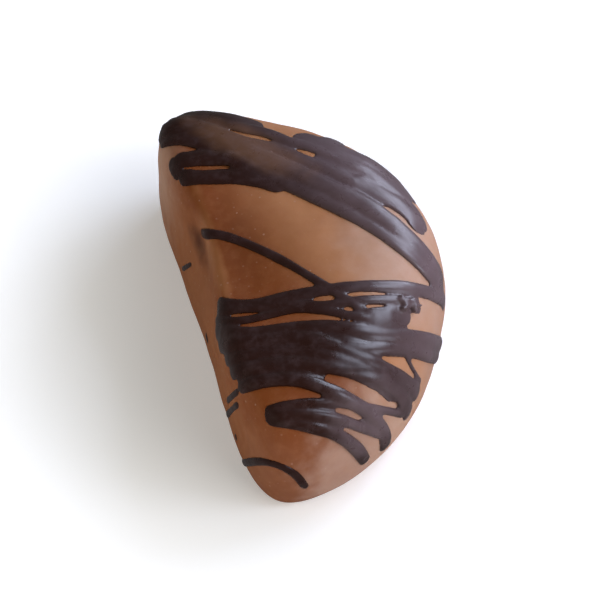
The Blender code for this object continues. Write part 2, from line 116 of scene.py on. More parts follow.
# Drizzle: a strand's width, crown height and how far it runs on at its start and end, in millimetres, and
# the pixels of the photograph that its middle line passes through.
STRANDS = {
    "band_low": (2.3, 0.7, 0.8, 2.5, (
        (162, 138.5), (186, 138), (220, 149.5), (262, 171), (300, 188.5), (340, 207), (380, 230),
        (415, 257), (438, 284))),
    "band_middle": (2.6, 0.8, 1.5, 3.0, (
        (160, 132), (185, 129), (220, 139), (260, 157), (300, 175), (340, 193), (380, 215.5), (412, 242),
        (437, 271))),
    "band_ridge": (2.2, 0.75, 1.5, 0.0, (
        (164, 127), (190, 123.5), (222, 135.5), (242, 142), (262, 145.5), (280, 149.5), (300, 158),
        (322, 166.5), (348, 179), (376, 196))),
    "band_top": (1.7, 0.6, 2.0, 0.0, (
        (170, 121), (198, 118), (226, 122.5), (245, 127.5), (262, 130.5), (276, 135), (288, 140.5),
        (304, 144.5), (322, 150.5), (345, 161.5), (372, 177), (394, 191))),
    "band_rim": (2.7, 0.55, 1.0, 0.0, ((176, 116.5), (204, 113), (230, 117), (248, 121), (264, 125.5))),
    "band_back": (3.4, 0.65, 0.0, 4.0, (
        (293, 133.5), (314, 139.5), (333, 146.5), (352, 154.5), (372, 165), (392, 179.5))),
    "band_lump": (2.0, 0.9, 0.0, 0.0, ((318, 138), (332, 141), (345, 147))),
    "band_outer": (2.0, 0.5, 0.0, 1.0, (
        (336, 157), (356, 166), (374, 175.5), (391, 187), (405, 199), (416, 212), (424, 226))),
    "band_fork": (3.0, 0.7, 0.0, 1.0, (
        (350, 179), (368, 187.5), (384, 195.5), (397, 202.5), (408, 211), (415, 219.5), (420, 229))),
    "loop_turn": (1.7, 0.6, 0.0, 0.0, ((171, 156), (173, 165), (180, 177))),
    "loop_upper": (2.6, 0.85, 0.0, 0.0, ((173, 160), (188, 158), (204, 157), (232, 158.5), (262, 171))),
    "loop_lower": (2.35, 0.7, 0.0, 0.0, ((179, 176), (204, 176), (236, 175.5), (262, 179), (285, 188))),
    "middle_first": (1.75, 0.65, 0.0, 3.0, (
        (217, 302), (252, 303), (286, 296), (322, 289.5), (362, 285), (400, 286), (425, 290.5),
        (441, 297))),
    "middle_second": (1.35, 0.6, 0.0, 0.0, (
        (217, 310), (252, 307.5), (275, 304.5), (300, 304), (322, 304.5), (340, 302), (362, 299),
        (390, 298.5), (412, 300))),
    "middle_third": (1.2, 0.55, 0.0, 0.0, (
        (216, 320), (240, 319.5), (262, 315.5), (280, 310.5), (300, 307.5), (322, 309), (344, 313),
        (366, 316), (386, 315))),
    "middle_fourth": (2.0, 0.7, 0.0, 2.0, (
        (216, 331), (250, 333), (276, 330), (302, 327), (330, 325.5), (352, 328), (376, 332.5), (400, 334.5),
        (422, 338.5), (440, 343.5))),
    "sweep_first": (2.2, 0.8, 0.0, 1.5, (
        (219, 343), (254, 340), (290, 337), (318, 341), (342, 349), (366, 360), (388, 371.5), (404, 381),
        (416, 391))),
    "sweep_second": (2.0, 0.7, 0.0, 0.0, (
        (225, 357), (250, 354), (280, 348.5), (310, 351), (340, 359.5), (368, 371), (389, 384), (402, 397),
        (407, 409), (407, 417))),
    "sweep_third": (1.9, 0.7, 0.0, 0.0, (
        (230, 371), (262, 366), (296, 362.5), (332, 366), (362, 371.5), (384, 380), (398, 391.5),
        (404, 403), (405, 412))),
    "sweep_fourth": (1.7, 0.6, 0.0, 0.0, ((258, 375), (292, 373), (326, 375))),
    "sweep_last": (1.7, 0.95, 0.0, 1.0, (
        (238, 386), (262, 380.5), (288, 378.5), (310, 382), (330, 389.5), (349, 399), (366, 409.5),
        (377, 421), (384, 433), (385, 445))),
    "short_right": (1.7, 0.7, 0.0, 2.5, ((340, 346), (364, 348), (388, 348), (410, 349.5), (438, 356))),
    "puddle": (3.2, 0.95, 0.0, 0.0, ((361, 320), (378, 318), (396, 315), (410, 310))),
    "puddle_drop": (2.3, 0.9, 0.0, 0.0, ((406, 301), (415, 304), (420, 312))),
    "long_thin": (1.2, 0.5, 0.0, 0.0, (
        (201, 232), (224, 234.5), (252, 244.5), (284, 260), (318, 280), (346, 298), (368, 311))),
    "thread": (0.6, 0.35, 0.0, 0.0, ((397, 341), (404, 351), (409, 361), (415, 372), (421, 381))),
    "tip_upper": (0.95, 0.6, 0.0, 0.0, (
        (264, 409.5), (280, 405), (300, 401.5), (322, 401), (346, 402.5), (372, 406.5), (388, 409.5),
        (404, 413))),
    "tip_middle": (1.25, 0.8, 0.0, 0.0, (
        (264, 413.5), (290, 412.5), (318, 413.5), (340, 418), (354, 423), (368, 428), (382, 432.5))),
    "tip_lower": (1.55, 0.85, 0.0, 1.0, (
        (265, 417.5), (290, 420.5), (312, 425), (332, 431), (346, 438.5), (357, 448), (365, 459))),
    "arc": (1.0, 0.45, 2.0, 0.5, ((242, 461.5), (262, 460), (280, 464.5), (295, 473), (305, 485))),
    "wall_bar_upper": (0.8, 0.3, 0.0, 0.0, ((239, 389), (233, 394), (227, 400))),
    "wall_bar_lower": (0.8, 0.3, 0.0, 0.0, ((239, 402), (233, 407), (227, 414))),
    "wall_dot": (0.8, 0.35, 0.0, 0.0, ((236, 432), (236, 439))),
    "wall_spot": (1.0, 0.4, 0.0, 0.0, ((206, 330), (208, 343))),
    "wall_tick": (0.6, 0.3, 0.0, 0.0, ((182, 268), (192, 262))),
}
# A strand's crest shows this many pixels above its foot, so the foot is placed that much lower.
CREST_PIXELS = 1.5
# Thin flat flows under the strands, which close the gaps between those that have run into each other.
FLOWS = {
    "band_flow": (3.8, 0.75, 0.0, 1.0, (
        (178, 133), (200, 132), (230, 144), (262, 159), (300, 177), (340, 195), (380, 217), (412, 244),
        (434, 270))),
    "upper_flow": (2.4, 0.5, 0.0, 0.0, ((312, 156), (332, 163), (352, 171), (375, 184), (392, 194))),
    "middle_flow": (2.6, 0.45, 0.0, 0.0, ((226, 338), (262, 337), (300, 336), (345, 340), (380, 347))),
    "sweep_flow": (3.0, 0.55, 0.0, 0.0, (
        (238, 373), (262, 363), (300, 358), (345, 364), (383, 380), (398, 396))),
}
# A strand's line on the coat: its points to each span of pixels, the rounds that settle a point beside the
# outline, the distance between its points in millimetres, and the rounds that even out how it lies.
POINTS_PER_SPAN = 8
SETTLE_ROUNDS = 6
STRAND_STEP = 0.5
LIE_ROUNDS = 2
# Where it runs on: its step, the share of it that pulls downhill, and the lowest point that it reaches.
MARCH_STEP = 0.7
DOWNHILL_PULL = 0.35
LOWEST_RUN = 1.4
# A strand's end is rounded over this many of its widths and thins out over more of them, to these shares.
END_WIDTHS = 0.6
END_SHARE = 0.3
THIN_WIDTHS = 1.8
THIN_SHARE = 0.35
# Where a strand crosses those laid before it, within a reach in millimetres, it lies on them: it is raised
# by a share of their height, its own crown sinks in by up to a share, and rounds of evening smooth the rise.
LIFT_SHARE = 0.7
SINK_SHARE = 0.75
LIFT_REACH = 2.6
LIFT_ROUNDS = 3
# The strands' sides, the seed of their unevenness, the strength of each round that runs them together, and
# the height in millimetres at which a crest's painted sheen, mottled like bloom, is strongest.
STRAND_SIDES = 24
UNEVEN_SEED = 3
FLOW_FACTOR = 0.5
CREST_HEIGHT = 0.6

# The clump of burst air bubbles on the puddle: its pixels, how many bubbles lie by each and within how many
# pixels, and their radii and heights above the coat in millimetres.
BUBBLE_TRAIL = ((401, 301), (407, 304), (404, 309), (411, 308), (415, 304))
BUBBLES_PER_PLACE = 5
BUBBLE_SPREAD = 3.5
BUBBLE_RADII = (0.2, 0.36)
BUBBLE_HEIGHTS = (0.45, 0.65)
BUBBLE_SEED = 7

# Painted sheen: milk chocolate is painted paler and dark chocolate hazier towards the round side, along a
# way at this angle in degrees, between these places in millimetres.
MILK_SHEEN_SPREAD = {"angle": 15.0, "from": -9.0, "to": 1.0}
DARK_SHEEN_SPREAD = {"angle": 10.0, "from": -6.0, "to": 12.0}

# Oval patches: middle and half sizes in millimetres, and the shares of the way out where the patch starts to
# fade and ends. Where no property gives it, full is how much of its colour shows. Turn is in degrees.
# On the broad face: painted sheen, laid on as a haze, and painted shade in the hollow by the cut rim.
FACE_SHEEN = {"middle": (10.0, -4.0, 18.0), "half": (10.0, 20.0, 10.5), "fade": (0.2, 1.1)}
HOLLOW_SHADE = {"middle": (-9.5, 1.5, 16.0), "half": (5.5, 9.0, 6.0), "fade": (0.2, 1.0), "full": 0.65}
# On the near tip: painted sheen, laid on as a haze, on its milk chocolate, its cut wall and its drizzle.
TIP_SHEEN = {"middle": (3.0, -27.0, 4.0), "half": (13.0, 12.0, 17.0), "fade": (0.55, 1.05)}
TIP_WALL_SHEEN = {"middle": (-12.0, -25.0, 5.0), "half": (7.0, 7.0, 10.0), "fade": (0.3, 1.1), "full": 0.07}
DARK_TIP_SHEEN = {"middle": (0.5, -23.5, 11.5), "half": (8.0, 5.0, 8.0), "fade": (0.3, 1.0)}
# On the cut wall: painted light makes it a little paler, and a painted reflection hazes its far end. A
# painted highlight pales its rim, and painted shade darkens the dent below the rim.
WALL_PAINTED_LIGHT = {"middle": (-15.6, -1.0, 8.0), "half": (6.0, 40.0, 12.0), "fade": (0.3, 1.0), "full": 0.25}
WALL_REFLECTION = {"middle": (-15.5, 22.0, 11.0), "half": (6.0, 13.0, 14.0), "fade": (0.0, 1.0), "full": 0.7}
RIM_HIGHLIGHT = {"middle": (-12.6, 1.5, 15.5), "half": (1.1, 17.0, 4.0), "fade": (0.2, 1.0), "full": 0.5}
RIM_DENT_SHADE = {"middle": (-13.7, 5.9, 12.9), "half": (1.7, 4.9, 2.3), "fade": (0.0, 1.0), "full": 0.8}
# Low on the round side: a duller painted sheen.
SIDE_SHEEN = {"middle": (12.0, -6.0, 6.0), "half": (10.0, 28.0, 12.0), "fade": (0.2, 1.15), "full": 0.7}
# At the start of the far band: the drizzle is a browner film, painted lighter for the sheen it catches
# there.
FAR_BAND_SHEEN = {"middle": (-5.0, 15.7, 17.5), "half": (10.5, 3.3, 8.0), "fade": (0.4, 1.1), "full": 0.9,
             "turn": -46.0}
# Noise with features of this size in millimetres pushes a patch's edge in and out. From its furthest in to
# its furthest out, that is this share of the patch's half sizes.
EDGE_SIZE = 3.0
EDGE_DETAIL = 3.0
EDGE_SHARE = 0.6

# Uneven patterns: the size of their features in millimetres, the noise's detail and roughness, and the noise
# values that become the pattern's own values.
MILK_CLOUDS = {"size": 9.0, "detail": 3.0, "roughness": 0.5, "from": (0.0, 1.0), "to": (0.0, 1.0)}
DARK_CLOUDS = {"size": 5.0, "detail": 3.0, "roughness": 0.5, "from": (0.0, 1.0), "to": (0.0, 1.0)}
CARD_CLOUDS = {"size": 30.0, "detail": 2.0, "roughness": 0.5, "from": (0.0, 1.0), "to": (0.99, 1.0)}
SHEEN_CLOUDS = {"size": 4.0, "detail": 5.0, "roughness": 0.6, "from": (0.3, 0.7), "to": (0.8, 1.15)}
MILK_MOTTLE = {"size": 1.4, "detail": 5.0, "roughness": 0.65, "from": (0.45, 0.7), "to": (0.0, 0.14)}
DARK_MOTTLE = {"size": 1.3, "detail": 5.0, "roughness": 0.65, "from": (0.45, 0.7), "to": (0.0, 0.14)}
MILK_GLOSS = {"size": 3.5, "detail": 4.0, "roughness": 0.5, "from": (0.3, 0.7), "to": (0.58, 0.68)}
DARK_GLOSS = {"size": 1.6, "detail": 4.0, "roughness": 0.5, "from": (0.3, 0.7), "to": (0.25, 0.36)}
# Relief: the size of its features and its depth in millimetres. Chocolate is ground to about 0.02 mm, too
# fine to show, so the milk chocolate's grain is drawn this coarse. The dark chocolate has soft ripples.
MILK_GRAIN = {"size": 0.35, "detail": 2.0, "strength": 0.25, "depth": 0.03}
DARK_RIPPLES = {"size": 1.6, "detail": 4.0, "strength": 0.12, "depth": 0.05}
# Specks of fat: their distance apart in millimetres, how rare the strong ones are, how much the strongest
# shows, and the shares of the distance where a speck starts to fade and ends.
SPECKS = {"apart": 0.8, "rarity": 4.0, "full": 0.45, "fade": (0.08, 0.22)}

# The floor, in metres, and the distances in millimetres between which the light through it grows: its
# dimmer glow close around the slice is a painted shadow.
FLOOR_HALF = 0.6
GLOW_REACH = (22.0, 55.0)
# Each lamp: its power's property, its azimuth from the camera's side round to the right and its elevation in
# degrees, its distance and side in metres, its colour, and whether it shows in reflections. The broad lamps
# and the floor don't, as they would whiten the dark chocolate's gloss.
LAMPS = {
    "window_light": ("window_power", 143.0, 26.0, 0.206, 0.1, "#DDE7FF", True),
    "skylight": ("skylight_power", 119.0, 46.0, 0.206, 0.08, "#DDE7FF", True),
    "door_light": ("door_power", 72.0, 32.0, 0.206, 0.07, "#DDE7FF", True),
    "room_light": ("room_power", 62.0, 36.0, 0.442, 0.42, "#FFFAF4", False),
    "bounce_light": ("bounce_power", -52.0, 14.0, 0.3, 0.3, "#FCF8D8", False),
}
# The surroundings change in brightness between these heights, each the sine of its angle above the floor.
HORIZON_TOP = 0.35
OVERHEAD_START = 0.68


def from_hex(code):
    """Return a colour for shaders from its sRGB hex code."""
    channels = [int(code[place:place + 2], 16) / 255.0 for place in (1, 3, 5)]
    linear = [c / 12.92 if c <= 0.04045 else ((c + 0.055) / 1.055) ** 2.4 for c in channels]
    return (*linear, 1.0)


def colour_property(name, description, code):
    """Return a colour for the sidebar."""
    return FloatVectorProperty(name=name, description=description, subtype="COLOR", size=4, min=0.0, max=1.0,
                               default=from_hex(code))


def size_property(name, description, default, least, most):
    """Return a size in millimetres for the sidebar."""
    return FloatProperty(name=name, description=description + " in millimetres", default=default, min=least,
                         max=most)


def share_property(name, description, default, least=0.0, most=1.0):
    """Return a share for the sidebar."""
    return FloatProperty(name=name, description=description, subtype="FACTOR", default=default, min=least,
                         max=most)


def light_property(name, description, default, unit="NONE"):
    """Return a power or a brightness for the sidebar."""
    return FloatProperty(name=name, description=description, unit=unit, default=default, min=0.0)


class SliceCoatProperties(bpy.types.PropertyGroup):
    """Sizes and colours of the milk chocolate coat."""
    thickness: size_property("Thickness", "Height of the broad face", 18.0, 10.0, 30.0)
    levels: IntProperty(name="Levels", description="Subdivision levels of the coat", default=4, min=2, max=4)
    lump_size: size_property("Lump size", "Width of the coat's soft lumps", 6.0, 1.0, 20.0)
    lump_depth: size_property("Lump depth", "Depth of the coat's soft lumps", 0.16, 0.0, 0.5)
    milk: colour_property("Milk chocolate", "Main colour of the coat", "#80431A")
    milk_deep: colour_property("Deep milk chocolate", "Colour where the coat is thin", "#743A14")
    # Painted shade in the hollow by the cut rim.
    painted_hollow_shade: colour_property("Hollow", "Colour in the hollow by the cut rim", "#66330F")
    # Pale mottling, and also the colour of painted light on the cut wall and rim and of painted sheen on the
    # face.
    pale_and_sheen: colour_property("Pale milk chocolate", "Colour where the fat has come out a little", "#AA744E")
    # Painted shade in the dent below the cut rim.
    painted_dent_shade: colour_property("Smear", "Colour of the smear over the cut rim", "#3A1A10")
    # Colour of painted sheen and reflection on the coat, and of its real specks of fat.
    sheen_and_haze: colour_property("Haze", "Colour of the dry fat haze on the coat", "#B89888")
    # Colour of the painted sheen low on the round side.
    side_sheen: colour_property("Side haze", "Colour of the haze low on the round side", "#A08070")
    # How strong the painted sheen is towards the round side.
    sheen_share: share_property("Haze share", "How thick the haze is on the round side", 0.8)
    # How strong the painted sheen is on the near tip.
    tip_sheen: share_property("Tip haze", "How thick the haze is on the near tip", 0.62)


class SliceDrizzleProperties(bpy.types.PropertyGroup):
    """Sizes and colours of the dark chocolate drizzle."""
    grain: size_property("Mesh grain", "Size of the drizzle mesh's cells", 0.185, 0.1, 0.5)
    runs_together: IntProperty(name="Runs together", description="Rounds of smoothing that join the strands",
                               default=7, min=0, max=40)
    fullness: share_property("Fullness", "Share of a strand's full crown that it keeps", 0.66, 0.3, 1.2)
    flatness: FloatProperty(name="Flatness", description="How flat a strand's sides run out to its edges",
                            default=1.0, min=0.5, max=3.0)
    spread: size_property("Spread", "How far a strand runs out on each side", 0.08, 0.0, 0.6)
    sunk: size_property("Sunk", "Depth of a strand below the coat", 0.35, 0.1, 1.0)
    unevenness: share_property("Unevenness", "Share by which a strand's width varies", 0.2, 0.0, 0.6)
    uneven_length: size_property("Uneven length", "Length of a thick or thin stretch", 5.0, 1.0, 30.0)
    dark: colour_property("Dark chocolate", "Main colour of the drizzle", "#230C08")
    dark_thin: colour_property("Thin dark chocolate", "Colour where the drizzle is thin", "#2D140D")
    # Colour where the far band starts, painted lighter for its sheen.
    far_film_sheen: colour_property("Thin film", "Colour where the drizzle is only a film", "#634534")
    # Colour of painted sheen on the drizzle, and of its bloom on the crests.
    sheen_and_haze: colour_property("Haze", "Colour of the dry fat haze on the drizzle", "#7A686E")
    # How strong the painted sheen is towards the round side.
    sheen_share: share_property("Haze share", "How thick the haze is on the round side", 0.55)
    # How strong the painted sheen is on the near tip.
    tip_sheen: share_property("Tip haze", "How thick the haze is on the near tip", 0.45)


class SliceStageProperties(bpy.types.PropertyGroup):
    """Floor and light."""
    floor: colour_property("Floor", "Colour of the floor", "#F4F5F8")
    floor_glow: light_property("Floor glow", "Light that comes through the floor from below", 0.6)
    # Dimmer glow close around the slice: a painted shadow.
    painted_shadow_glow: light_property("Glow near", "The same light close around the slice", 0.25)
    window_power: light_property("Window", "Power of the window behind on the right", 0.18, "POWER")
    skylight_power: light_property("Skylight", "Power of the high window", 0.14, "POWER")
    door_power: light_property("Door", "Power of the light from the door on the right", 0.09, "POWER")
    room_power: light_property("Room", "Power of the broad light beside the camera", 1.2, "POWER")
    bounce_power: light_property("Bounce", "Power of the low light on the cut side", 0.5, "POWER")
    horizon: light_property("Horizon", "Brightness of the surroundings near the floor", 0.12)
    overhead: light_property("Overhead", "Brightness of the surroundings overhead", 0.1)


def blend(low, high, value):
    """Return the smooth step from 0 at low to 1 at high."""
    share = min(1.0, max(0.0, (value - low) / (high - low)))
    return share * share * (3.0 - 2.0 * share)


def curve_point(before, start, end, after, share):
    """Return the point of a Catmull-Rom curve between start and end."""
    square = share * share
    cube = square * share
    return 0.5 * (2.0 * start + (end - before) * share
                  + (2.0 * before - 5.0 * start + 4.0 * end - after) * square
                  + (3.0 * start - before - 3.0 * end + after) * cube)


def closed_columns():
    """Return each column of the coat as (plan point, cut share)."""
    stations = [Vector((*place, cut)) for place, cut in zip(OUTLINE, CUT_SHARE)]
    count = len(stations)
    columns = []
    for index in range(count):
        around = [stations[(index + shift) % count] for shift in (-1, 0, 1, 2)]
        for part in range(SPANS_PER_STATION):
            point = curve_point(*around, part / SPANS_PER_STATION)
            columns.append((point.xy, min(1.0, max(0.0, point.z))))
    return columns


def wall_rings(columns):
    """Return the coat's rings from the base up, each a list of (across, along, share of height)."""
    rings = []
    for (round_inset, round_share), (cut_inset, cut_share) in zip(ROUND_PROFILE, CUT_PROFILE):
        ring = []
        for place, cut in columns:
            squeezed = place.y * SPINE_SQUEEZE + SPINE_START
            spine = Vector((SPINE_ACROSS, min(SPINE_FAR, max(SPINE_NEAR, squeezed))))
            inset = round_inset * (1.0 - cut) + cut_inset * cut
            share = round_share * (1.0 - cut) + cut_share * cut
            moved = place + (spine - place).normalized() * inset
            ring.append(Vector((moved.x, moved.y, share)))
        rings.append(ring)
    return rings


def fill_ring(bm, ring, height):
    """Fill a closed ring of vertices with a grid of quads at one height."""
    near = ring[:FACE_ACROSS + 1]
    outer = ring[FACE_ACROSS:FACE_ACROSS + FACE_ALONG + 1]
    far = ring[FACE_ACROSS + FACE_ALONG:2 * FACE_ACROSS + FACE_ALONG + 1][::-1]
    cut = [ring[0], *ring[:2 * FACE_ACROSS + FACE_ALONG - 1:-1]]
    corner_mix = (near[0].co, near[-1].co, far[0].co, far[-1].co)
    grid = {}
    for i in range(FACE_ACROSS + 1):
        for j in range(FACE_ALONG + 1):
            u, v = i / FACE_ACROSS, j / FACE_ALONG
            if j == 0:
                grid[i, j] = near[i]
            elif j == FACE_ALONG:
                grid[i, j] = far[i]
            elif i == 0:
                grid[i, j] = cut[j]
            elif i == FACE_ACROSS:
                grid[i, j] = outer[j]
            else:
                place = (1 - v) * near[i].co + v * far[i].co + (1 - u) * cut[j].co + u * outer[j].co
                weights = ((1 - u) * (1 - v), u * (1 - v), (1 - u) * v, u * v)
                for weight, corner in zip(weights, corner_mix):
                    place -= weight * corner
                place.z = height
                grid[i, j] = bm.verts.new(place)
    for i in range(FACE_ACROSS):
        for j in range(FACE_ALONG):
            bm.faces.new((grid[i, j], grid[i + 1, j], grid[i + 1, j + 1], grid[i, j + 1]))


def make_cage():
    """Return the coarse cage of the coat, with shares of the height for z."""
    columns = closed_columns()
    bm = bmesh.new()
    rings = [[bm.verts.new(place) for place in ring] for ring in wall_rings(columns)]
    count = len(columns)
    for lower, upper in zip(rings, rings[1:]):
        for i in range(count):
            j = (i + 1) % count
            bm.faces.new((lower[i], lower[j], upper[j], upper[i]))
    fill_ring(bm, rings[-1], 1.0)
    fill_ring(bm, rings[0], 0.0)
    bmesh.ops.recalc_face_normals(bm, faces=bm.faces)
    mesh = bpy.data.meshes.new("coat_cage")
    bm.to_mesh(mesh)
    bm.free()
    return mesh


def face_height(across, along, thickness):
    """Return the height of the broad face above the base."""
    tips = 1.0 - TIP_DROP * ((along - MIDDLE_ALONG) / HALF_LENGTH) ** 2
    side = 1.0 - ROUND_DROP * (max(0.0, across - CROWN_ACROSS) / ROUND_REACH) ** 2
    return thickness * tips * side


def shaped(place, thickness):
    """Return a cage point (across, along, share of height) as a point of the coat in millimetres."""
    across, along, share = place
    height = share * face_height(across, along, thickness)
    off_across = (across - STONE_HOLLOW["across"]) / STONE_HOLLOW["reach_across"]
    off_along = (along - STONE_HOLLOW["along"]) / STONE_HOLLOW["reach_along"]
    dip = STONE_HOLLOW["depth"] * math.exp(-(off_across ** 2 + off_along ** 2))
    height -= dip * blend(*STONE_HOLLOW["fade"], share)
    lean = RIM_LEAN["depth"] * math.exp(-((along - RIM_LEAN["along"]) / RIM_LEAN["reach"]) ** 2)
    lean *= blend(RIM_LEAN["width"], 0.0, across) * blend(*RIM_LEAN["fade"], share)
    off_notch = (along - RIM_NOTCH["along"]) / RIM_NOTCH["reach"]
    off_share = (share - RIM_NOTCH["share"]) / RIM_NOTCH["share_reach"]
    notch = RIM_NOTCH["depth"] * math.exp(-(off_notch ** 2 + off_share ** 2))
    notch *= blend(RIM_NOTCH["width"], 0.0, across)
    return Vector((across + lean + notch, along, height))


def evaluated_mesh(item):
    """Return a new mesh of an object with its modifiers."""
    graph = bpy.context.evaluated_depsgraph_get()
    return bpy.data.meshes.new_from_object(item.evaluated_get(graph))


def new_object(name, data):
    """Return a new object in the scene."""
    item = bpy.data.objects.new(name, data)
    bpy.context.scene.collection.objects.link(item)
    return item


def add_lumps(mesh, lump_size, lump_depth):
    """Press soft lumps into a mesh along its normals, none on the flat base."""
    normals = [vertex.normal.copy() for vertex in mesh.vertices]
    for vertex, normal in zip(mesh.vertices, normals):
        place = vertex.co / lump_size
        lump = noise.noise(place) + FINE_LUMP_SHARE * noise.noise(place * FINE_LUMPS)
        vertex.co += normal * lump * lump_depth * blend(0.0, LUMPS_FULL, vertex.co.z)


def bare_coat_mesh(sizes):
    """Return the coat's mesh in millimetres."""
    guide = new_object("coat_guide", make_cage())
    smooth = guide.modifiers.new("smooth", "SUBSURF")
    smooth.levels = sizes.levels
    smooth.render_levels = sizes.levels
    mesh = evaluated_mesh(guide)
    bpy.data.objects.remove(guide)
    for vertex in mesh.vertices:
        vertex.co = shaped(vertex.co, sizes.thickness)
    mesh.update()
    add_lumps(mesh, sizes.lump_size, sizes.lump_depth)
    mesh.update()
    return mesh


def to_metres(mesh):
    """Move the origin to the middle of the base and change millimetres to metres."""
    for vertex in mesh.vertices:
        across, along, height = vertex.co
        vertex.co = ((across - ORIGIN_ACROSS) * MM, (along - ORIGIN_ALONG) * MM, height * MM)


def to_working(place):
    """Return a point of the frame in metres as (across, along, height) in millimetres."""
    return Vector((place.x / MM + ORIGIN_ACROSS, place.y / MM + ORIGIN_ALONG, place.z / MM))


def to_frame(place):
    """Return a point in millimetres as a point of the frame in metres."""
    return Vector(((place.x - ORIGIN_ACROSS) * MM, (place.y - ORIGIN_ALONG) * MM, place.z * MM))


def surface_tree(mesh):
    """Return a search tree of a mesh in millimetres."""
    places = [to_working(vertex.co) for vertex in mesh.vertices]
    return BVHTree.FromPolygons(places, [tuple(face.vertices) for face in mesh.polygons])


def mark_crests(mesh, tree, full_height):
    """Mark how far each point of the drizzle stands above the coat, 1 at the full height in millimetres."""
    heights = [tree.find_nearest(to_working(vertex.co))[3] for vertex in mesh.vertices]
    crests = [min(1.0, height / full_height) for height in heights]
    mesh.attributes.new("crest", "FLOAT", "POINT").data.foreach_set("value", crests)


def direction(azimuth, elevation):
    """Return the direction from the slice to a place round to the right of its near side and up."""
    return Vector((math.sin(azimuth) * math.cos(elevation), -math.cos(azimuth) * math.cos(elevation),
                   math.sin(elevation)))


def sight_axes():
    """Return the eye and the picture's right, up and backward directions."""
    back = direction(VIEW_AZIMUTH, VIEW_ELEVATION)
    right = Vector((math.cos(VIEW_AZIMUTH), math.sin(VIEW_AZIMUTH), 0.0))
    return VIEW_AIM + back * VIEW_DISTANCE, right, back.cross(right), back


def on_coat(tree, pixel):
    """Return the point of the coat that a pixel shows, or the nearest one to its line of sight."""
    eye, right, up, back = sight_axes()
    aside = (pixel.x - AIM_PIXEL[0]) / (PIXELS_PER_MM * VIEW_DISTANCE)
    above = (AIM_PIXEL[1] - pixel.y) / (PIXELS_PER_MM * VIEW_DISTANCE)
    sight = (right * aside + up * above - back).normalized()
    hit = tree.ray_cast(eye, sight)[0]
    if hit is not None:
        return hit
    place = VIEW_AIM
    for _ in range(SETTLE_ROUNDS):
        place = eye + sight * (place - eye).dot(sight)
        place = tree.find_nearest(place)[0]
    return place


def run_on(tree, start, heading, length):
    """Follow the coat from start, turning downhill where it is steep."""
    places = []
    place = start
    normal = tree.find_nearest(start)[1]
    for _ in range(round(length / MARCH_STEP)):
        pull = DOWNHILL_PULL * (1.0 - abs(normal.z))
        ahead = heading * (1.0 - pull) + Vector((0.0, 0.0, -pull))
        ahead = (ahead - normal * ahead.dot(normal)).normalized()
        next_place, normal = tree.find_nearest(place + ahead * MARCH_STEP)[:2]
        if next_place.z < LOWEST_RUN:
            break
        heading = (next_place - place).normalized()
        place = next_place
        places.append(place)
    return places


def strand_line(tree, pixels, before, after):
    """Return a strand's middle line on the coat."""
    knots = [Vector((x, y + CREST_PIXELS)) for x, y in pixels]
    knots = [2 * knots[0] - knots[1], *knots, 2 * knots[-1] - knots[-2]]
    line = []
    for index in range(1, len(knots) - 2):
        for part in range(POINTS_PER_SPAN):
            line.append(on_coat(tree, curve_point(*knots[index - 1:index + 3], part / POINTS_PER_SPAN)))
    line.append(on_coat(tree, knots[-2]))
    if before:
        line = run_on(tree, line[0], (line[0] - line[2]).normalized(), before)[::-1] + line
    if after:
        line = line + run_on(tree, line[-1], (line[-1] - line[-3]).normalized(), after)
    return line


def even_steps(line, step):
    """Return a line's points again at even distances, and its length."""
    reached = [0.0]
    for start, end in zip(line, line[1:]):
        reached.append(reached[-1] + (end - start).length)
    count = max(2, round(reached[-1] / step))
    places = []
    index = 0
    for part in range(count + 1):
        target = reached[-1] * part / count
        while index < len(line) - 2 and reached[index + 1] < target:
            index += 1
        span = max(1e-9, reached[index + 1] - reached[index])
        share = min(1.0, max(0.0, (target - reached[index]) / span))
        places.append(line[index].lerp(line[index + 1], share))
    return places, reached[-1]


def evened(values, rounds):
    """Return a line's values, each drawn towards its neighbours in so many rounds."""
    last = len(values) - 1
    for _ in range(rounds):
        values = [(values[max(0, i - 1)] + 2.0 * values[i] + values[min(last, i + 1)]) / 4.0
                  for i in range(last + 1)]
    return values


def lifts(line, laid):
    """Return how far each point of a line is raised by the strands laid before it."""
    if not laid:
        return [0.0] * len(line)
    finder = KDTree(len(laid))
    for index, (place, _, _) in enumerate(laid):
        finder.insert(place, index)
    finder.balance()
    raised = []
    for place in line:
        tops = [0.0]
        for _, index, distance in finder.find_range(place, LIFT_REACH):
            _, half, top = laid[index]
            tops.append(top * max(0.0, 1.0 - (distance / half) ** 2))
        raised.append(max(tops) * LIFT_SHARE)
    return evened(raised, LIFT_ROUNDS)


